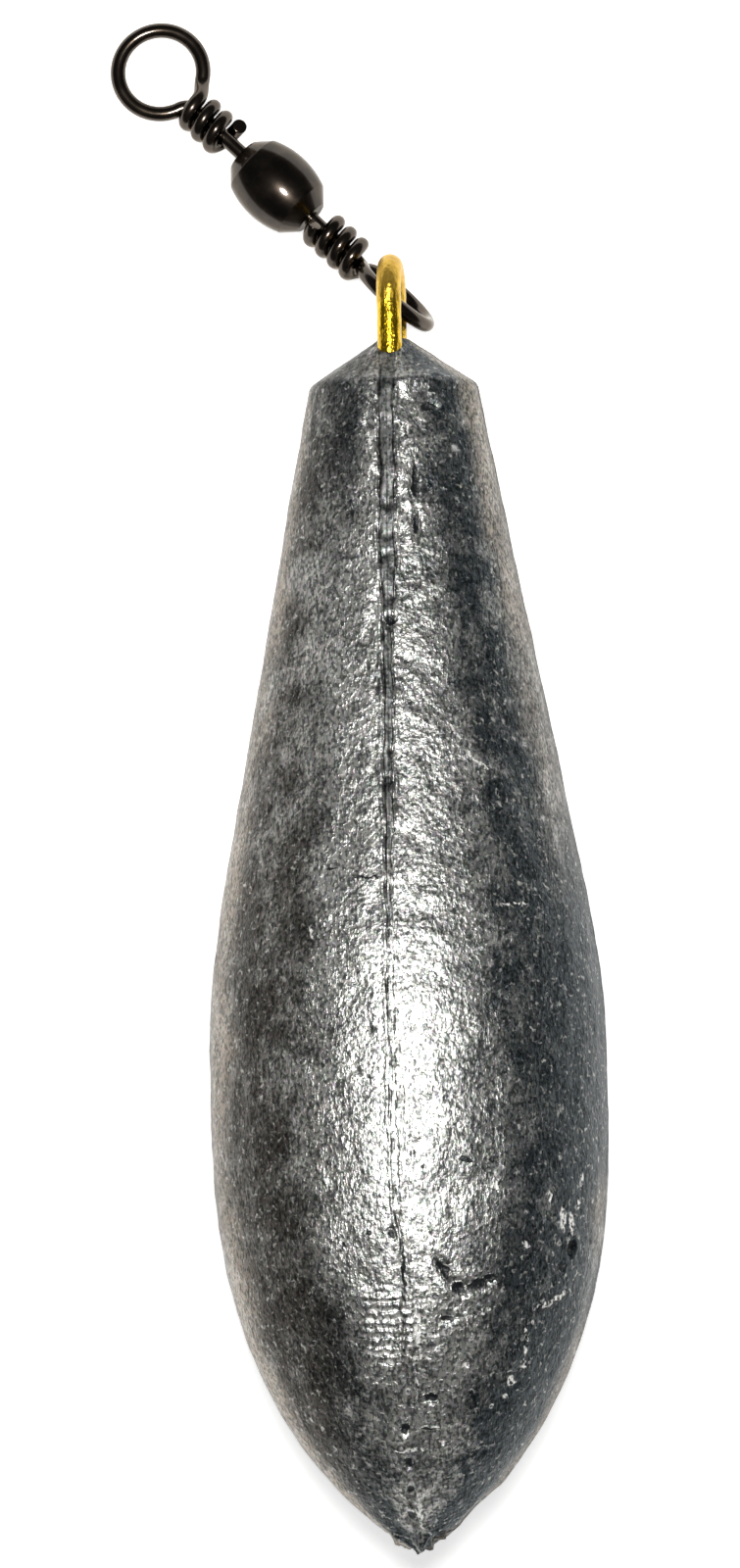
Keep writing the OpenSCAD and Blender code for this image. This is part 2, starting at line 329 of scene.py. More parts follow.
def new_material(name):
    """An empty material, and the function that adds nodes to it."""
    material = bpy.data.materials.new(name)
    material.use_nodes = True
    material.node_tree.nodes.clear()
    return material, partial(add_node, material.node_tree)


def per(size_mm):
    """Pattern scale, in features per metre, for features of a size in millimetres."""
    return 1 / (size_mm * MM)


def finish_metal(add, colour, dull, height, strength, distance, metal=1.0, coat=None):
    """Ends a metal's nodes: its relief, its shader and the material's output."""
    bump = add("Bump", {"Height": height, "Strength": strength, "Distance": distance})
    look = {"Base Color": colour, "Metallic": metal, "Roughness": dull, "Normal": bump, **(coat or {})}
    add("OutputMaterial", {"Surface": add("BsdfPrincipled", look)})


def mark_layer(add, place, marks):
    """The strongest of a table's marks at each place, from 0 outside them to 1 in the middle of one."""
    strongest = None
    for across, along, long, wide, turned in marks:
        lie = {"Location": (across * MM, along * MM, 0), "Rotation": (0, 0, math.radians(turned))}
        reach = {"Scale": (long * MM, wide * MM, wide * MM)}
        local = add("Mapping", {"Vector": place, **lie, **reach}, vector_type="TEXTURE")
        blob = add("TexGradient", {"Vector": local}, out="Fac", gradient_type="SPHERICAL")
        strongest = add("Math", {0: strongest, 1: blob}, operation="MAXIMUM") if strongest else blob
    # A mark has its full strength over the inner three fifths of its reach
    return add("MapRange", {"Value": strongest, "From Max": 0.38}, interpolation_type="SMOOTHSTEP")


# Shares that the casting's mesh keeps for each point, from 0 to 1
LEAD_SHARES = ("pit", "band", "rubbed", "film_and_shade", "side")


def cast_lead(lead):
    """Gravity cast lead: a soft grey metal whose skin froze on the mould, then oxidised and was handled."""
    # To the eye: crumpled grain that sparkles along the top and the back, where it was rubbed, between flanks
    # dulled by oxide, brown-black on the left and blue-black on the right, with brown-grey edges. Painted light:
    # a highlight along the top, shade down the flanks, and on the edges the tone of the card they mirror.
    material, add = new_material("gravity_cast_lead")
    at = add("Attribute", out="Vector", attribute_name="own")
    skin = add("Attribute", out="Vector", attribute_name="skin")
    pit, band, rubbed, film_and_shade, side = (add("Attribute", out="Fac", attribute_name=name) for name in LEAD_SHARES)

    # The marks, with edges that wander by about 0.1 mm
    wander = add("TexNoise", {"Vector": at, "Scale": per(0.5), "Detail": 2}, out="Color", normalize=False)
    worn = add("VectorMath", {0: wander, 1: (0.16 * MM, 0.16 * MM, 0), 2: skin}, operation="MULTIPLY_ADD")
    dark, bright, rippled = (mark_layer(add, worn, marks) for marks in (DARK, BRIGHT, RIPPLES))
    # Ripples 0.51 mm apart
    down = add("SeparateXYZ", {"Vector": worn}, out="Y")
    wave = add("Math", {0: down, 1: 2 * math.pi * per(0.51)}, operation="MULTIPLY")
    wave = add("Math", {0: wave}, operation="SINE")
    ripple = add("Math", {0: wave, 1: rippled}, operation="MULTIPLY")
    crest = add("Math", {0: ripple, 1: 0.8, 2: bright}, operation="MULTIPLY_ADD", use_clamp=True)

    # Patches of bright and oxidised skin, about 2.4 mm across, on the rubbed share, also the top's painted
    # highlight
    patch = add("TexNoise", {"Vector": at, "Scale": per(2.4), "Detail": 7, "Roughness": 0.72, "Distortion": 0.3})
    patch = add("MapRange", {"Value": patch, "From Min": 0.38, "From Max": 0.62, "To Min": -0.36, "To Max": 0.42})
    clean_and_highlight = add("Math", {0: rubbed, 1: 0.9, 2: patch}, operation="MULTIPLY_ADD", use_clamp=True)
    # Grain frozen in the skin, 0.24 mm, and slanting flecks 0.2 mm wide and 0.5 mm long
    speckle = add("TexNoise", {"Vector": at, "Scale": per(0.24), "Detail": 2, "Roughness": 0.55})
    even = add("VectorMath", {0: skin}, operation="ABSOLUTE")
    slant = add("Mapping", {"Vector": even, "Rotation": (0, 0, math.radians(42)), "Scale": (1, 0.42, 1)})
    flecks = add(
        "TexNoise", {"Vector": slant, "Scale": per(0.2), "Detail": 2, "Roughness": 0.55, "Distortion": 0.8}
    )
    both = add("Math", {0: speckle, 1: flecks}, operation="ADD")
    clear = add("MapRange", {"Value": both, "From Min": 0.88, "From Max": 1.06})
    # Painted glints: single grains, 0.34 mm, that stay bright on the dull flanks
    single = add("TexNoise", {"Vector": at, "Scale": per(0.34), "Detail": 1, "Distortion": 0.8})
    glint = add("MapRange", {"Value": single, "From Min": 0.6, "From Max": 0.76, "To Max": 0.62})
    # Rubbed lines along the body, from drawing it over the ground: 0.35 mm wide, about 6 mm long
    along = add("Mapping", {"Vector": at, "Scale": (1, 1, 0.06)})
    rubs = add("TexNoise", {"Vector": along, "Scale": per(0.35), "Detail": 2})
    # Facets of 0.34 mm and folds of 1.4 mm
    grain = add("TexVoronoi", {"Vector": at, "Scale": per(0.34), "Randomness": 1})
    coarse = add("TexNoise", {"Vector": at, "Scale": per(1.4), "Detail": 2, "Roughness": 0.5})

    # The film turns from blue-black to brown-black between 1 and 6 mm left of the seam
    shade = add("MapRange", {"Value": clear, "To Min": 0.3, "To Max": 1.0})
    across = add("SeparateXYZ", {"Vector": skin}, out="X")
    browned = add("MapRange", {"Value": across, "From Min": -1 * MM, "From Max": -6 * MM})
    films = add("Mix", {SHARE: browned, UNDER: lead.oxide, OVER: lead.brown}, out=MIXED, data_type="RGBA")
    # The sides' brown-grey is partly painted light, the card's tone on the edges
    sides = add("Math", {0: side, 1: 0.7}, operation="MULTIPLY")
    grooved = add("Math", {0: band, 1: 0.6}, operation="MULTIPLY")
    # Painted highlight on the ripples' crests and on the bright marks
    shining = add("Math", {0: crest, 1: clear}, operation="MULTIPLY")
    colour = films
    for share, over, how in (
        # The rubbed share paints the highlight along the top, the flanks' share paints shade, and the grains
        # paint glints
        (clean_and_highlight, lead.bright, "MIX"),
        (sides, lead.edge_film_and_reflection, "MIX"),
        (film_and_shade, films, "MIX"),
        (glint, lead.bright, "MIX"),
        (grooved, lead.oxide, "MIX"),
        (1.0, shade, "MULTIPLY"),
        (shining, lead.glint, "MIX"),
        (pit, lead.pit, "MIX"),
        (dark, lead.pit, "MIX"),
        # Films a few hundredths of a micron thick tint each grain a little differently
        (0.22, speckle.node.outputs["Color"], "OVERLAY"),
    ):
        layers = {SHARE: share, UNDER: colour, OVER: over}
        colour = add("Mix", layers, out=MIXED, data_type="RGBA", blend_type=how)

    dull = add("MapRange", {"Value": clean_and_highlight, "To Min": 0.48, "To Max": 0.4})
    # Torn places and single grains scatter the light instead of mirroring it
    loose = add("Math", {0: dark, 1: shining}, operation="MAXIMUM")
    loose = add("Math", {0: loose, 1: glint}, operation="MAXIMUM")
    metal = add("MapRange", {"Value": loose, "To Min": 1.0, "To Max": 0.3})

    # Heights in millimetres, lower where the skin was handled, rippled or pressed flat in the seam's band
    skinned = add("Math", {0: speckle, 1: 0.068}, operation="MULTIPLY")
    for pattern, size in ((flecks, 0.055), (grain, 0.024), (rubs, 0.01), (coarse, 0.24)):
        skinned = add("Math", {0: pattern, 1: size, 2: skinned}, operation="MULTIPLY_ADD")
    handled = add("MapRange", {"Value": rubbed, "From Min": 0.85, "From Max": 1.1, "To Max": 0.35})
    smoother = add("Math", {0: rippled, 1: 0.6, 2: band}, operation="MULTIPLY_ADD")
    smoother = add("Math", {0: smoother, 1: handled}, operation="ADD", use_clamp=True)
    calm = add("MapRange", {"Value": smoother, "To Min": 1.0, "To Max": 0.2})
    height = add("Math", {0: skinned, 1: calm}, operation="MULTIPLY")
    for pattern, size in ((dark, -0.11), (bright, 0.06), (ripple, 0.045)):
        height = add("Math", {0: pattern, 1: size, 2: height}, operation="MULTIPLY_ADD")
    finish_metal(add, colour, dull, height, 1.0, MM, metal)
    return material


def drawn_brass(brass):
    """Brass wire, drawn through a die and bent cold."""
    # To the eye: a yellow gloss with fine lines along the wire, dents from the tools and brown oxide in the
    # hollows. Real drawing lines are about 0.02 mm wide and wouldn't show, so they are drawn 0.15 mm wide.
    material, add = new_material("drawn_brass_wire")
    at = add("Attribute", out="Vector", attribute_name="own")
    lines = add("Mapping", {"Vector": at, "Scale": (1, 1, 0.08)})
    drawn = add("TexNoise", {"Vector": lines, "Scale": per(0.15), "Detail": 2})
    dents = add("TexNoise", {"Vector": at, "Scale": per(0.7), "Detail": 4, "Roughness": 0.6})
    # The arch, over 2 mm above the lead, is duller than the legs, which rub on the ring
    up = add("SeparateXYZ", {"Vector": at}, out="Z")
    arch = add("MapRange", {"Value": up, "From Min": 1.6 * MM, "From Max": 3.4 * MM})
    stained = add("MapRange", {"Value": dents, "From Min": 0.44, "From Max": 0.72, "To Max": 0.8})
    colour = add("Mix", {SHARE: stained, UNDER: brass.brass, OVER: brass.stain}, out=MIXED, data_type="RGBA")
    tanned = add("Math", {0: arch, 1: 0.75}, operation="MULTIPLY")
    colour = add("Mix", {SHARE: tanned, UNDER: colour, OVER: brass.tan}, out=MIXED, data_type="RGBA")
    dull = add("MapRange", {"Value": dents, "From Min": 0.3, "From Max": 0.7, "To Min": 0.16, "To Max": 0.3})
    dull = add("Math", {0: arch, 1: 0.2, 2: dull}, operation="MULTIPLY_ADD")
    height = add("Math", {0: drawn, 1: 0.15, 2: dents}, operation="MULTIPLY_ADD")
    finish_metal(add, colour, dull, height, 1.0, 0.15 * MM)
    return material


def black_nickel(swivel):
    """Metal plated black nickel, under a thin clear lacquer."""
    # To the eye: a brown-black gloss with a crisp highlight in a soft halo, a little paler in clouds where it
    # was rubbed. The grain of real plating is too fine to show, so it is drawn 0.12 mm wide.
    material, add = new_material("plated_black_nickel")
    at = add("Attribute", out="Vector", attribute_name="own")
    clouds = add("TexNoise", {"Vector": at, "Scale": per(1.4), "Detail": 4})
    worn = add("MapRange", {"Value": clouds, "From Min": 0.45, "From Max": 0.75, "To Max": 0.5})
    # The plating on the wires is a little paler and glossier than the barrel's
    wire = add("Attribute", out="Fac", attribute_name="wire")
    worn = add("Math", {0: wire, 1: 0.3, 2: worn}, operation="MULTIPLY_ADD", use_clamp=True)
    colour = add("Mix", {SHARE: worn, UNDER: swivel.plate, OVER: swivel.rubbed}, out=MIXED, data_type="RGBA")
    fine = add("TexNoise", {"Vector": at, "Scale": per(0.12), "Detail": 2})
    dull = add("MapRange", {"Value": clouds, "To Min": 0.22, "To Max": 0.36})
    dull = add("Math", {0: wire, 1: -0.06, 2: dull}, operation="MULTIPLY_ADD")
    lacquer = {"Specular Tint": (0.55, 0.5, 0.44, 1), "Coat Weight": 0.5, "Coat Roughness": 0.06}
    finish_metal(add, colour, dull, fine, 0.5, 0.004 * MM, coat=lacquer)
    return material


def white_card(stage):
    """Matt white card, pressed from paper fibre."""
    # To the eye: plain white that keeps the object's shadow. The camera and mirrors see it a little brighter,
    # so that it goes white. Real fibres are about 0.02 mm wide, and are drawn 0.5 mm wide.
    material, add = new_material("white_card")
    at = add("TexCoord", out="Object")
    fibre = add("TexNoise", {"Vector": at, "Scale": per(0.5), "Detail": 2})
    bump = add("Bump", {"Height": fibre, "Strength": 0.2, "Distance": 0.01 * MM})
    matt = add("BsdfDiffuse", {"Color": stage.paper, "Normal": bump})
    seen = add("LightPath", out="Is Camera Ray")
    rays = seen.node.outputs
    seen = add("Math", {0: seen, 1: rays["Is Glossy Ray"]}, operation="ADD")
    seen = add("Math", {0: seen, 1: rays["Is Transmission Ray"]}, operation="ADD", use_clamp=True)
    lift = add("Math", {0: seen, 1: stage.card_lift}, operation="MULTIPLY")
    glow = add("Emission", {"Strength": lift})
    both = add("AddShader", {0: matt, 1: glow})
    add("OutputMaterial", {"Surface": both})
    return material


# The lead casting

# Marks of this casting on its unrolled skin, in millimetres: across from the front seam, below the top,
# half length and half width, and the turn of its length in degrees.
DARK = [
    (2.69, 56.94, 1.05, 0.3, 58), (3.65, 58.07, 0.62, 0.48, 30), (4.88, 57.83, 0.9, 0.38, -21),
    (5.62, 57.48, 0.4, 0.3, 0), (-1.66, 54.69, 0.18, 0.18, 0), (-0.29, 54.78, 0.41, 0.24, 60),
    (1.69, 50.8, 0.18, 0.18, 0), (11.12, 56.67, 0.41, 0.21, -10), (4.35, 50.48, 0.47, 0.18, 10),
    (5.98, 50.46, 0.35, 0.18, -10), (-0.06, 68.13, 0.32, 0.29, 0), (-0.05, 69.7, 0.35, 0.26, 0),
    (-0.21, 71.15, 0.35, 0.26, 0), (-0.07, 66.23, 0.29, 0.35, 0), (-3.27, 55.39, 0.31, 0.12, 70),
    (10.35, 58.94, 1.66, 0.1, -22), (11.88, 59.24, 1.03, 0.08, -21), (-3.93, 65.44, 0.58, 0.14, 36),
    (-3.32, 65.92, 0.29, 0.18, 20), (1.26, 66.19, 0.65, 0.12, 1), (-3.55, 32.83, 0.54, 0.07, 3),
    (-1.37, 33.45, 0.83, 0.07, 2), (6.4, 14.13, 0.44, 0.12, 17), (8.91, 37.16, 0.29, 0.15, 10),
    (1.7, 9.33, 1.29, 0.24, 90), (2.66, 4.71, 0.71, 0.35, 0), (1.8, 11.92, 0.88, 0.26, 90),
    (-0.02, 27.59, 0.29, 0.29, 0), (0.11, 17.79, 0.35, 0.29, 20), (2.79, 59.85, 0.53, 0.24, 0),
    (1.63, 64.38, 0.53, 0.24, 10), (0.34, 56.85, 1.48, 0.12, 91), (12.31, 55.5, 0.29, 0.53, 30),
    (3.07, 3.64, 0.47, 0.18, 20),
]
# The bright marks are raised scratches and crests, painted as highlights where facets catch the lamp
BRIGHT = [
    (10.35, 58.71, 1.98, 0.18, -21), (-2.97, 53.13, 1.31, 0.1, 72), (6.3, 51.96, 0.53, 0.21, 95),
    (8.17, 55.41, 0.39, 0.25, 20), (13.47, 51.44, 0.66, 0.21, 100), (10.23, 52.65, 0.53, 0.21, 85),
    (11.37, 53.82, 0.92, 0.34, 92), (12.27, 54.11, 0.8, 0.25, 88), (13.01, 52.84, 0.46, 0.17, 95),
    (8.76, 59.98, 0.17, 0.17, 0), (8.12, 60.5, 0.17, 0.17, 0), (8.19, 60.9, 0.17, 0.17, 0),
    (8.13, 61.55, 0.2, 0.21, 0), (7.97, 62.36, 0.27, 0.21, 80), (6.96, 63.37, 0.39, 0.34, -30),
    (6.52, 64.26, 0.2, 0.17, -40), (5.45, 64.94, 0.24, 0.12, -50), (1.47, 60.71, 0.98, 0.17, 2),
    (0.98, 62.07, 0.73, 0.17, 3), (3.08, 60.21, 0.61, 0.16, -26), (4.14, 59.79, 0.65, 0.13, -17),
    (5.36, 59.34, 0.63, 0.16, -23), (1.33, 66.06, 0.71, 0.1, 1), (2.34, 66.97, 0.44, 0.15, -13),
    (0.13, 67.38, 1.16, 0.1, -3), (3.86, 62.57, 0.24, 0.18, 0), (1.25, 13.28, 0.78, 0.13, 7),
    (2.67, 13.67, 0.82, 0.13, 24), (4.06, 24.66, 0.88, 0.12, 50), (5.55, 26.41, 1.02, 0.12, 42),
    (8.05, 35.01, 1.17, 0.1, -2), (-4.91, 36.6, 0.53, 0.15, 80), (0.75, 63.3, 1.4, 0.12, 90),
    (0.35, 70.9, 1.3, 0.1, 88), (1, 60.2, 1.9, 0.3, 90), (1.07, 6.49, 0.29, 0.82, 0),
    (-0.95, 6.71, 0.35, 0.29, 0), (-4.53, 53.8, 0.35, 0.12, 60),
]
# Where the cold lead froze in ripples beside the seam. Their crests are painted as highlights
RIPPLES = [(-0.9, 60.5, 2.9, 2.0, 90)]
# A nick in the outline near the tip: below the top, degrees round, half length, half width in degrees, depth
NICK = (70.3, 95.0, 1.2, 26.4575, 0.2)
# How far the top and the back are rubbed, which is also the painted highlight along the top:
# millimetres below the top, and the share there
RUB_AND_HIGHLIGHT = (
    (0, 2, 4, 10, 16, 25, 34, 43, 52, 59, 64, 70, 73),
    (0.55, 0.5, 0.65, 0.7, 0.85, 0.85, 0.95, 1.05, 1.1, 1.15, 0.95, 0.6, 0.4),
)
# Seed and numbers of the scattered faults
SEED, SKIN_PITS, SEAM_PITS, DENTS = 11, 150, 26, 46
# The skin lies this far inside the outline, in millimetres, so that its bumps stay in the solid's box
SKIN_DROP = 0.06
# Steps along each stretch of the outline
SHOULDER_STEPS, TAPER_STEPS, NOSE_STEPS = 20, 60, 200


def ease(x, start, end):
    """A smooth step: 0 up to the start, 1 from the end on. The start may be the larger of the two."""
    share = np.clip((x - start) / (end - start), 0, 1)
    return share * share * (3 - 2 * share)


def ridge(x, at, width):
    """A soft ridge of height 1 where x is at."""
    return np.exp(-(((x - at) / width) ** 2))


def dish(x):
    """A hollow of depth 1, with its rim where x is 1."""
    return np.clip(1 - x * x, 0, 1)


def turned_from(phi, at):
    """Angle from one direction round the body to another, up to half a turn either way."""
    return (phi - at + math.pi) % (2 * math.pi) - math.pi


def lead_outline(lead):
    """Distance below the top and radius, in metres, close together from the top to the tip."""
    body_r, curve_r, round_r = lead.belly_d / 2, lead.belly_curve_r, lead.shoulder_r
    corner_at = (lead.shoulder_d - lead.top_d) / 2 / math.tan(lead.top_angle)
    way = (lead.belly_at - corner_at, body_r - curve_r - lead.shoulder_d / 2)
    taper = math.atan2(way[1], way[0]) + math.asin(curve_r / math.hypot(*way))
    shoulder_turn = lead.top_angle - taper
    cut = round_r * math.tan(shoulder_turn / 2)
    centre_t = corner_at + cut * math.cos(taper) + round_r * math.sin(taper)
    centre_r = lead.shoulder_d / 2 + cut * math.sin(taper) - round_r * math.cos(taper)
    found = [(0, lead.top_d / 2 * s) for s in (0.1, 0.4, 0.7, 1)]
    for i in range(SHOULDER_STEPS + 1):
        a = lead.top_angle - shoulder_turn * i / SHOULDER_STEPS
        found.append((centre_t - round_r * math.sin(a), centre_r + round_r * math.cos(a)))
    for i in range(TAPER_STEPS + 1):
        a = taper * (1 - i / TAPER_STEPS)
        found.append((lead.belly_at - curve_r * math.sin(a), body_r - curve_r + curve_r * math.cos(a)))
    nose_at = lead.belly_at + lead.belly_len
    for i in range(1, NOSE_STEPS):
        share = math.sin(math.pi / 2 * i / NOSE_STEPS)
        r = body_r * (1 - share**lead.nose_fullness) ** lead.nose_bluntness
        found.append((nose_at + (lead.length - nose_at) * share, r))
    found.append((lead.length - 0.02 * MM, 0.12 * MM))
    return np.array(found)


def along_outline(outline, rows):
    """Points at even steps along the outline, with the outward normal at each."""
    steps = np.r_[0, np.cumsum(np.hypot(*np.diff(outline, axis=0).T))]
    at = np.linspace(0, steps[-1], rows)
    t, r = np.interp(at, steps, outline[:, 0]), np.interp(at, steps, outline[:, 1])
    dt, dr = np.gradient(t, at), np.gradient(r, at)
    size = np.hypot(dt, dr)
    return t, r, -dr / size, dt / size


def angles_round(r, columns):
    """Angles of the points of each ring: close together along both seams, and widest apart over the back."""
    seam, flank = columns // 7, columns * 2 // 7
    under = columns // 2 - seam - flank
    rings = []
    for ring_r in r:
        half, flank_end = min(1.3 * MM / ring_r, 0.5), 1.7
        ends = (-half, half, flank_end, math.pi - half)
        ends += tuple(2 * math.pi - a for a in ends[:0:-1])
        counts = (seam, flank, under, seam, under, flank)
        parts = (np.linspace(a, b, n, endpoint=False) for a, b, n in zip(ends, ends[1:], counts))
        rings.append(np.concatenate(list(parts)))
    phi = np.array(rings)
    return np.where(phi > math.pi, phi - 2 * math.pi, phi)


def lead_marks(t, r, phi, points, leg_at, leg_r):
    """Height of the skin over the outline, how pitted it is, and the seam's band.

    t is the distance below the top and r the radius. The brass legs of radius leg_r stand leg_at to each side.
    These lengths and all heights here are in millimetres, and phi is the angle from the front seam in radians.
    """
    rng = np.random.default_rng(SEED)
    x = phi * r
    front = abs(phi) < 1
    # Cold lead froze in swells, folds and lumps, about 6, 1.9 and 0.8 mm across
    rows = [[rough(p, 6 * MM, 2), rough(p, 1.9 * MM), rough((p[0] + 1, p[1], p[2]), 0.8 * MM, 2)] for p in points]
    swells, folds, lumps = np.array(rows).T
    height = 0.05 * swells + 0.04 * folds + 0.018 * lumps
    # The two mould halves met a little out of line
    height -= 0.05 * ease(x, -0.08, 0.08) * (abs(phi) < math.pi / 2)
    # The seam: a smooth band between two fine edges. It narrows twice and runs out into one broken line,
    # which bends to the right of the middle below 52 mm
    half = 0.48 - 0.2 * ease(t, 14, 18) - 0.14 * ease(t, 28, 38)
    wander = 0.05 * np.sin(t * 0.9) + 0.04 * np.sin(t * 2.3 + 1) + 0.03 * lumps
    wander += np.interp(t, [52, 55.4, 65, 70], [0, 0.42, 0.3, 0])
    broken = np.clip(0.55 + 0.4 * np.sin(t * 1.7 + 3 * np.sin(t * 0.37)) + 0.35 * np.sin(t * 4.1), 0.05, 1)
    band = ease(half - abs(x - wander), 0, 0.12) * front * ease(t, 40, 28)
    height -= 0.03 * band
    # Its edges are grooves, darkened towards near-black in the colour. From 43 to 55 mm the right one stands off
    # to the side
    aside = 0.5 * ease(t, 43, 46) * ease(t, 55.4, 52.4)
    pit = np.zeros_like(t)
    for edge, deep, dirt, strength in (
        (-half, 0.1, 0.9, 0.9 + 0.1 * ease(t, 44, 36)),
        (half + aside, 0.06, 0.5, ease(t, 34, 26) + 1.6 * aside),
    ):
        strength = strength * broken * ease(t, 67, 64)
        groove = ridge(x, edge + wander, 0.09) * front
        height -= groove * deep * strength
        pit = np.maximum(pit, groove * strength * dirt)
    for lip in (-half - 0.17, half + 0.17):
        height += 0.04 * ridge(x, lip + wander, 0.1) * front
    # The seam on the back is a low rib between two grooves
    back = (math.pi - abs(phi)) * r
    height += 0.04 * ease(back, 0.45, 0.33)
    groove = ridge(back, 0.5, 0.1)
    height -= 0.09 * groove
    pit = np.maximum(pit, 0.7 * groove)
    # Pits scattered over the skin, and more of them in the seam
    draw = rng.uniform
    for i in range(SKIN_PITS + SEAM_PITS):
        if i < SKIN_PITS:
            at_t, at_phi, size, depth = draw(4, 71), draw(-180, 180), draw(0.24, 0.4), draw(0.03, 0.11)
        else:
            at_t, at_phi, size, depth = draw(3, 72), rng.normal(0, 3), draw(0.22, 0.32), draw(0.05, 0.12)
        down, across = t - at_t, turned_from(phi, math.radians(at_phi)) * r
        # The rim has five lobes
        lobes = 1 + 0.3 * np.sin(5 * np.arctan2(down, across + 1e-9) + at_phi)
        hollow = dish(np.hypot(down, across) / size * lobes) ** 1.5
        height -= depth * hollow
        pit = np.maximum(pit, hollow * min(1, depth / 0.14))
    # The wider marks of the dark table are hollows with a raised lip
    for at_x, at_t, long, wide, turned in DARK:
        if wide < 0.2:
            continue
        c, s = math.cos(math.radians(turned)), math.sin(math.radians(turned))
        dx, dt = x - at_x + 0.12 * lumps, t - at_t + 0.1 * folds
        d = np.hypot((dx * c + dt * s) / (long + 0.1), (dt * c - dx * s) / (wide + 0.1))
        height -= wide * (0.8 * dish(d) - 0.12 * ridge(d, 1.35, 0.3)) * (abs(phi) < 1.7)
    # The seam's edges are crumpled near the top, and a flat is worn on the right of the shoulder
    height += 0.09 * lumps * ridge(abs(x), 0.9, 0.6) * front * ease(t, 22, 12)
    flat = ease(t, 2.7, 3.9) * ease(t, 5.2, 4) * ease(phi, 0.04, 0.14) * ease(phi, 0.66, 0.46)
    height -= (0.22 + 0.1 * lumps) * flat
    # Shallow dents from knocks
    for _ in range(DENTS):
        at_t, at_phi, size, depth = draw(4, 70), draw(-math.pi, math.pi), draw(0.8, 2.6), draw(0.02, 0.07)
        height -= depth * dish(np.hypot(t - at_t, turned_from(phi, at_phi) * r) / size)
    at_t, at_turn, long, wide, depth = NICK
    height -= depth * dish((t - at_t) / long) * dish((np.degrees(phi) - at_turn) / wide)
    # The lead crept a little way up the legs
    away = np.hypot(points[:, 0] / MM, abs(points[:, 1]) / MM - leg_at) - leg_r
    height += 0.16 * ridge(np.maximum(away, -0.3), 0, 0.28) * (t < 3)
    # Ragged tip, with torn bits of flash on the seam
    height += ease(t, 71.4, 72.6) * (0.45 * lumps + 0.3 * folds)
    flash = ease(t, 70.6, 71.6) * ridge(np.minimum(abs(x), back), 0, 0.16)
    height += 0.3 * flash * np.clip(lumps + 0.25, 0, 1)
    return height - SKIN_DROP, np.clip(pit, 0, 1), np.clip(band, 0, 1)


def lead_films(t, phi, points):
    """How far the skin is rubbed bright along the seams, filmed down the flanks and brown-grey at the sides."""
    # Each share is partly painted light: a highlight on top, shade on the flanks, the card's tone on the sides
    # Clouds about 9 and 4 mm across give every edge its ragged run
    broad, small = np.array([[rough(p, 9 * MM), rough((p[0], p[1] + 1, p[2]), 4 * MM, 4)] for p in points]).T
    off = np.minimum(abs(phi), math.pi - abs(phi)) + 0.12 * broad + 0.1 * small
    t = t + 6 * broad * ease(t, 8, 18)
    left = ease(np.sin(phi), 1 / 6, -1 / 6)
    right = 1 - left

    # The rubbed band is also the painted highlight along the top. It is wider on the left of the upper body and
    # narrower at the nose
    width = 0.55 + 0.16 * left * np.interp(t, [3, 12, 30, 38], [0, 1, 1, 0]) - np.interp(t, [54, 63], [0, 0.14])
    rubbed = np.interp(t, *RUB_AND_HIGHLIGHT) * ridge(off, 0, width)
    # A fainter rub reaches round the upper body, and a stronger one runs beside the seam below the shoulder
    # The fainter rub is partly a painted sheen, more on the left
    rubbed += 0.2 * (0.4 + 0.6 * left) * np.interp(t, [3, 14, 34, 42], [0, 1, 0.8, 0]) * ease(off, 1, 0.7)
    rubbed += 0.35 * ridge(off, 0.2, 0.15) * ease(t, 18, 10) * ease(t, 3, 5)

    # The flanks' share darkens the flanks with oxide and with painted shade
    film_and_shade = ease(off, 0.46, 0.71) * ease(off, 1.2, 0.85) * np.clip(0.62 + 0.55 * small - 0.12 * left, 0, 1)
    # More of it, as painted shade and oxide, on the right flank, on both flanks of the belly, and on the left
    # below the shoulder
    belly = ease(t, 25, 37) * ease(off + 0.14 * left, 0.46, 0.76) * (1 - left * ease(off, 0.9, 1.2))
    shoulder = left * np.interp(t, [1.5, 3, 9, 15], [0, 1, 1, 0]) * ease(off, 0.2, 0.45) * ease(off, 1.1, 0.75)
    for more in (right * ease(t, 27, 39) * ease(off, 0.7, 1), (0.75 + 0.5 * small) * belly, 0.75 * shoulder):
        film_and_shade = np.maximum(film_and_shade, more)
    # Painted light on the nose: its edges lose the dark share and take the sides' brown-grey
    rim = ease(off, 1.2, 1.52) * ease(t, 48, 58)
    film_and_shade = np.clip(film_and_shade, 0, 1) * (1 - rim)

    # The sides are partly worn from handling and partly painted light, the card's tone that they mirror
    side = ease(off, 0.9, 1.2) * (left + right * np.interp(t, [0, 22, 36], [0.9, 0.8, 0.2]))
    side = np.maximum(side, 0.9 * rim) * np.clip(0.85 + 0.6 * broad, 0, 1)
    # The left of the top cone is painted lighter with it
    side = np.maximum(side, 0.35 * left * ease(t, 2.75, 2.45))
    return rubbed, film_and_shade, side


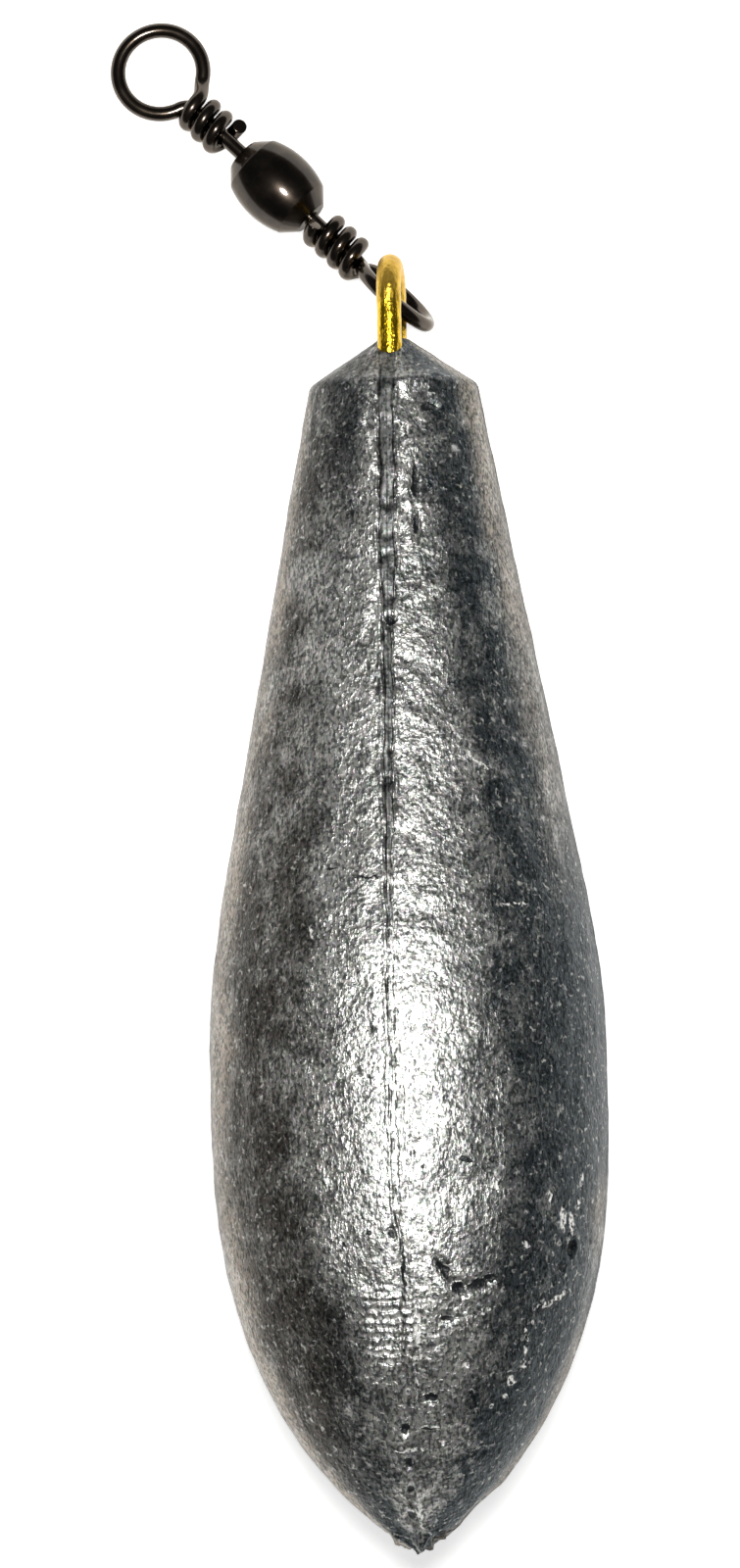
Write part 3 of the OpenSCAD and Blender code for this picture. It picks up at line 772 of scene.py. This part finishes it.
class SINKER_OT_lead_body(bpy.types.Operator):
    """Casts the lead body with its seam, pits, gouges and folds"""

    bl_idname = "sinker.lead_body"
    bl_label = "Lead body"

    def execute(self, context):
        scene = context.scene
        lead, brass, place = scene.sinker_lead, scene.sinker_brass, lead_frame(scene.sinker_lie)
        outline = along_outline(lead_outline(lead), lead.rows)
        phi = angles_round(outline[1], lead.columns)
        columns = phi.shape[1]
        phi = phi.ravel()
        t, r, out_t, out_r = (np.repeat(values, columns) for values in outline)
        base = np.c_[r * np.sin(phi), -r * np.cos(phi), -t]
        leg_at, leg_r = (brass.gap + brass.wire_d) / 2, brass.wire_d / 2
        height, pit, band = lead_marks(t / MM, r / MM, phi, base, leg_at / MM, leg_r / MM)
        moved_t, moved_r = t + out_t * height * MM, r + out_r * height * MM
        points = np.c_[moved_r * np.sin(phi), -moved_r * np.cos(phi), -moved_t]
        ends = [[0, 0, points[:columns, 2].mean()], [0, 0, points[-columns:, 2].mean()]]
        points = np.r_[points, ends]
        # The table has pressed the small flat into the soft lead
        turned, moved = np.array(place.to_3x3()), np.array(place.translation)
        laid = points @ turned.T + moved
        low = laid[:, 2] < 0
        laid[low, 2] = 0
        points = (laid - moved) @ turned
        faces = grid_faces(lead.rows, columns)
        material = cast_lead(lead)
        piece = new_piece("lead_casting", points, faces, place, "sinker", "lead_body", "cast_lead", material)
        rubbed, film_and_shade, side = lead_films(t / MM, phi, base)
        rubbed = np.maximum(rubbed, 0.9 * low[:-2])
        for name, values in zip(LEAD_SHARES, (pit, band, rubbed, film_and_shade, side)):
            give(piece.data, name, np.r_[values, 0, 0])
        # The unrolled skin, folded at the sides. Its back half stands 20 mm off, out of reach of the marks
        folded = np.sign(phi) * np.minimum(abs(phi), math.pi - abs(phi))
        skin = np.c_[r * folded, t, 20 * MM * ease(abs(phi), 1.4, 1.7)]
        give(piece.data, "skin", np.r_[skin, [[0, 0, 0], [0, lead.length, 0]]])
        return {"FINISHED"}


# The brass eye


class SINKER_OT_brass_eye(bpy.types.Operator):
    """Bends the brass wire into the eye, with its legs and feet in the lead"""

    bl_idname = "sinker.brass_eye"
    bl_label = "Brass eye"

    def execute(self, context):
        scene = context.scene
        brass = scene.sinker_brass
        wire_r = brass.wire_d / 2
        leg_at = (brass.gap + brass.wire_d) / 2
        arch_at = brass.height - brass.gap / 2
        foot_r = brass.foot_bend_r + wire_r
        centre = (0, -leg_at - foot_r, -brass.leg_len)
        half = [Vector((0, centre[1] - brass.foot_len, centre[2] - foot_r))]
        half += arc(centre, foot_r, -math.pi / 2, 0, 12, "YZ")
        low, steps = half[-1].z, 90
        half += [Vector((0, -leg_at, low + (arch_at - low) * i / steps)) for i in range(1, steps)]
        arch = arc((0, 0, arch_at), leg_at, math.pi, 0, 48, "YZ")
        line = half + arch + [Vector((0, -p.y, p.z)) for p in half[::-1]]

        def tool_dents(p):
            return 0.022 * MM * rough(p, 0.9 * MM) - 0.012 * MM

        points, faces = sweep(line, [wire_r] * len(line), 40, tool_dents)
        place, material = lead_frame(scene.sinker_lie), drawn_brass(brass)
        node, slot = "brass_eye", "brass_wire"
        new_piece("brass_wire_eye", points, faces, place, "sinker", node, slot, material, SHARP_WIRE)
        return {"FINISHED"}


# The swivel

# The ring ends at 236 degrees. The wire crosses over in a sixth of a turn, and its wraps begin at 240 degrees
RING_END, WRAP_START, CROSSING_TURN = math.radians(236), math.radians(240), 60 / 360
# Points of each stretch of a wire eye, and of one turn of its wraps
STEM_STEPS, NECK_STEPS, RING_STEPS, CROSSING_STEPS, TURN_STEPS = 40, 14, 130, 16, 48
# The tail lifts off the stem over its last steps
TAIL_STEPS = 8
HEAD_ROUNDING = 0.15 * MM


def wire_line(swivel, turns):
    """Centre line and radii of one wire eye, from its upset head to the cut end of its tail."""
    wire_r = swivel.wire_d / 2
    ring_r = (swivel.ring_d + swivel.wire_d) / 2
    bend_r = swivel.neck_r + wire_r
    stem_top = -math.sqrt((ring_r + bend_r) ** 2 - (bend_r + swivel.ring_offset) ** 2)
    neck_turn = math.asin(-stem_top / (ring_r + bend_r))
    head_at, head_r = head_place(swivel), swivel.head_d / 2
    bottom = -head_at - swivel.head_len
    line = [Vector((0, 0, bottom))]
    radii = [head_r - HEAD_ROUNDING]
    for a in (math.pi / 2 * i / 4 for i in range(1, 5)):
        line.append(Vector((0, 0, bottom + HEAD_ROUNDING * (1 - math.cos(a)))))
        radii.append(head_r - HEAD_ROUNDING * (1 - math.sin(a)))
    # The head's edge, then its flat face down to the stem
    for below, r in ((0.1, head_r), (0.05, head_r - 0.02 * MM), (0, head_r - 0.08 * MM), (0, wire_r)):
        line.append(Vector((0, 0, -head_at - below * MM)))
        radii.append(r)
    stem = [Vector((0, 0, -head_at + (head_at + stem_top) * i / STEM_STEPS)) for i in range(1, STEM_STEPS)]
    neck = arc((bend_r, 0, stem_top), bend_r, math.pi, math.pi - neck_turn, NECK_STEPS)
    ring = arc((-swivel.ring_offset, 0, 0), ring_r, -neck_turn, RING_END, RING_STEPS)[1:]
    wrap_r = swivel.wire_d + swivel.stem_gap
    pitch = swivel.wire_d + swivel.wrap_gap
    last = round((turns - CROSSING_TURN) * TURN_STEPS)
    wraps = []
    for i in range(last + 1):
        a = WRAP_START + 2 * math.pi * i / TURN_STEPS
        r = wrap_r + swivel.tail_lift * (max(0, i - last + TAIL_STEPS) / TAIL_STEPS) ** 2
        wraps.append(Vector((r * math.cos(a), -r * math.sin(a), -swivel.wrap_from - pitch * i / TURN_STEPS)))
    # The wire crosses from the ring to the first wrap on one smooth curve
    pull = 0.65 * swivel.wire_d
    a, d = ring[-1], wraps[0]
    b = a + pull * Vector((-math.sin(RING_END), 0, math.cos(RING_END)))
    c = d - pull * (wraps[1] - wraps[0]).normalized()
    crossing = []
    for s in (i / CROSSING_STEPS for i in range(1, CROSSING_STEPS)):
        crossing.append(a * (1 - s) ** 3 + b * 3 * s * (1 - s) ** 2 + c * 3 * s * s * (1 - s) + d * s**3)
    rest = stem + neck + ring + crossing + wraps
    line += rest
    radii += [wire_r] * len(rest)
    # The cutters left a small rounding on the end
    way = (wraps[-1] - wraps[-2]).normalized()
    for ahead, share in ((0.01, 0.99), (0.03, 0.94), (0.04, 0.85), (0.042, 0.4)):
        line.append(wraps[-1] + ahead * MM * way)
        radii.append(wire_r * share)
    return line, radii


def head_place(swivel):
    """From the ring's centre to the inner face of the head."""
    pitch = swivel.wire_d + swivel.wrap_gap
    wraps_to = swivel.wrap_from + pitch * (swivel.line_turns - CROSSING_TURN) + swivel.wire_d / 2
    return wraps_to + swivel.bare_len + swivel.wall


def span(swivel, play):
    """From the barrel's middle to the ring's centre."""
    return head_place(swivel) + swivel.barrel_len / 2 - swivel.wall - play


class SINKER_OT_wire_eyes(bpy.types.Operator):
    """Winds the two wire eyes of the swivel"""

    bl_idname = "sinker.wire_eyes"
    bl_label = "Wire eyes"

    def execute(self, context):
        scene = context.scene
        swivel, lie = scene.sinker_swivel, scene.sinker_lie
        plate = black_nickel(swivel)
        line_turn = turn("Z", math.pi / 2 + lie.ring_turn)
        sinker_turn = turn("Z", -lie.ring_lean) @ turn("Y", math.pi)
        for name, node, body, turns, turned, play in (
            ("line_wire_eye", "line_eye", "upper_eye", swivel.line_turns, line_turn, swivel.line_play),
            ("sinker_wire_eye", "sinker_eye", "lower_eye", swivel.sinker_turns, sinker_turn, swivel.sinker_play),
        ):
            points, faces = sweep(*wire_line(swivel, turns), 32)
            place = swivel_frame(lie) @ turned @ Matrix.Translation((0, 0, span(swivel, play)))
            piece = new_piece(name, points, faces, place, body, node, "black_nickel", plate, SHARP_PLATE)
            give(piece.data, "wire", np.ones(len(points)))
        return {"FINISHED"}


def filleted(corners, steps=6):
    """A closed section with its corners rounded: each corner is across, along and a rounding."""
    found = []
    for i, (x, z, r) in enumerate(corners):
        here = Vector((x, z))
        before, after = Vector(corners[i - 1][:2]), Vector(corners[(i + 1) % len(corners)][:2])
        if not r:
            found.append(here)
            continue
        a, b = (before - here).normalized(), (after - here).normalized()
        # A rounding takes up less than half of each side
        cut = min(r / math.tan(a.angle(b) / 2), (before - here).length * 0.45, (after - here).length * 0.45)
        for s in (k / steps for k in range(steps + 1)):
            found.append((here + a * cut) * (1 - s) ** 2 + here * 2 * s * (1 - s) + (here + b * cut) * s * s)
    return found


class SINKER_OT_barrel(bpy.types.Operator):
    """Swages the hollow barrel over the heads of the two wires"""

    bl_idname = "sinker.barrel"
    bl_label = "Swivel barrel"

    def execute(self, context):
        scene = context.scene
        s = scene.sinker_swivel
        half, cone, corner = s.barrel_len / 2, s.barrel_len / 2 - s.swage_len, s.corner_d / 2
        bow = (cone**2 + ((s.barrel_d - s.corner_d) / 2) ** 2) / (s.barrel_d - s.corner_d)
        inner, seat = corner - s.wall, half - s.wall
        seat_r = inner - (seat - cone) * (s.corner_d - s.face_d) / 2 / s.swage_len
        hole = s.wire_d / 2 + s.hole_clearance
        bowed = []
        for z in (-cone + 2 * cone * i / 40 for i in range(1, 40)):
            bowed.append((corner + math.sqrt(bow**2 - z**2) - math.sqrt(bow**2 - cone**2), z, 0))
        # One end's outside corners, then its inside ones. The other end mirrors them
        edge = 0.1 * MM
        end = [(corner, cone, 1.4 * edge), (s.face_d / 2, half, 1.5 * edge), (hole, half, edge)]
        end += [(hole, seat, edge), (seat_r, seat, edge), (inner, cone, edge)]
        other = [(x, -z, r) for x, z, r in end[::-1]]
        section = filleted(other[3:] + bowed + end + other[:3])
        rows, columns = len(section), 120
        turns = [2 * math.pi * k / columns for k in range(columns)]
        around = [(k, (k + 1) % columns) for k in range(columns)]
        points = [(p.x * math.cos(a), p.x * math.sin(a), p.y) for p in section for a in turns]
        faces = []
        for low, high in ((i * columns, (i + 1) % rows * columns) for i in range(rows)):
            faces += [(low + j, high + j, high + k, low + k) for k, j in around]
        plate = bpy.data.materials.get("plated_black_nickel") or black_nickel(s)
        place, node, slot = swivel_frame(scene.sinker_lie), "swivel_barrel", "black_nickel"
        new_piece("barrel_shell", points, faces, place, "barrel", node, slot, plate, SHARP_PLATE)
        return {"FINISHED"}


# The stage


class SINKER_OT_stage(bpy.types.Operator):
    """Lays the white card and sets the lamp, the surroundings and the camera"""

    bl_idname = "sinker.stage"
    bl_label = "Stage"

    def execute(self, context):
        scene = context.scene
        stage = scene.sinker_stage
        w = stage.table_w / 2
        mesh = bpy.data.meshes.new("card")
        mesh.from_pydata([(-w, -w, 0), (w, -w, 0), (w, w, 0), (-w, w, 0)], [], [(0, 1, 2, 3)])
        mesh.materials.append(white_card(stage))
        card = new_object("card", mesh)

        centre = Vector(stage.view_centre)
        up = turn("Z", stage.view_turn) @ Vector((0, 1, 0))
        lamp = bpy.data.lights.new("flash", "AREA")
        lamp.shape = "DISK"
        lamp.size = stage.lamp_d
        lamp.energy = stage.lamp_power
        flash = new_object("flash", lamp)
        towards = math.sin(stage.lamp_tilt) * up + Vector((0, 0, math.cos(stage.lamp_tilt)))
        flash.location = centre + stage.lamp_distance * towards
        flash.rotation_euler = towards.to_track_quat("Z", "Y").to_euler()

        # Pale surroundings at the table's level, and a dark room overhead
        world = bpy.data.worlds.new("room")
        world.use_nodes = True
        world.node_tree.nodes.clear()
        add = partial(add_node, world.node_tree)
        way = add("TexCoord", out="Generated")
        up = add("SeparateXYZ", {"Vector": way}, out="Z")
        light = {"To Min": stage.room_low, "To Max": stage.room_high}
        level = {"Value": up, "From Min": -0.15, "From Max": 0.12, **light}
        level = add("MapRange", level, interpolation_type="SMOOTHSTEP")
        air = add("Background", {"Color": (1, 1, 1, 1), "Strength": level})
        add("OutputWorld", {"Surface": air})
        scene.world = world

        lens = bpy.data.cameras.new("camera")
        lens.sensor_width = 36
        lens.lens = lens.sensor_width * stage.distance / stage.view_height
        lens.clip_start, lens.clip_end = 0.05, 10
        camera = new_object("camera", lens)
        above = centre + Vector((0, 0, stage.distance))
        camera.matrix_world = Matrix.Translation(above) @ turn("Z", stage.view_turn)
        scene.camera = camera
        scene.view_settings.view_transform = "Standard"
        return {"FINISHED"}


class SINKER_PT_panel(bpy.types.Panel):
    """Lists the steps that build the sinker"""

    bl_idname = "SINKER_PT_panel"
    bl_label = "Fishing sinker"
    bl_space_type = "VIEW_3D"
    bl_region_type = "UI"
    bl_category = "Sinker"

    def draw(self, context):
        for operator in OPERATORS:
            self.layout.operator(operator.bl_idname)


GROUPS = {
    "sinker_lie": LieSizes,
    "sinker_lead": LeadSizes,
    "sinker_brass": BrassSizes,
    "sinker_swivel": SwivelSizes,
    "sinker_stage": StageSizes,
}
OPERATORS = (SINKER_OT_stage, SINKER_OT_lead_body, SINKER_OT_brass_eye, SINKER_OT_wire_eyes, SINKER_OT_barrel)
CLASSES = (*GROUPS.values(), *OPERATORS, SINKER_PT_panel)


def register():
    for item in CLASSES:
        bpy.utils.register_class(item)
    for name, group in GROUPS.items():
        setattr(bpy.types.Scene, name, PointerProperty(type=group))


def unregister():
    for name in GROUPS:
        delattr(bpy.types.Scene, name)
    for item in reversed(CLASSES):
        bpy.utils.unregister_class(item)


def main():
    register()
    bpy.ops.sinker.stage()
    bpy.ops.sinker.lead_body()
    bpy.ops.sinker.brass_eye()
    bpy.ops.sinker.wire_eyes()
    bpy.ops.sinker.barrel()


if __name__ == "__main__":
    main()
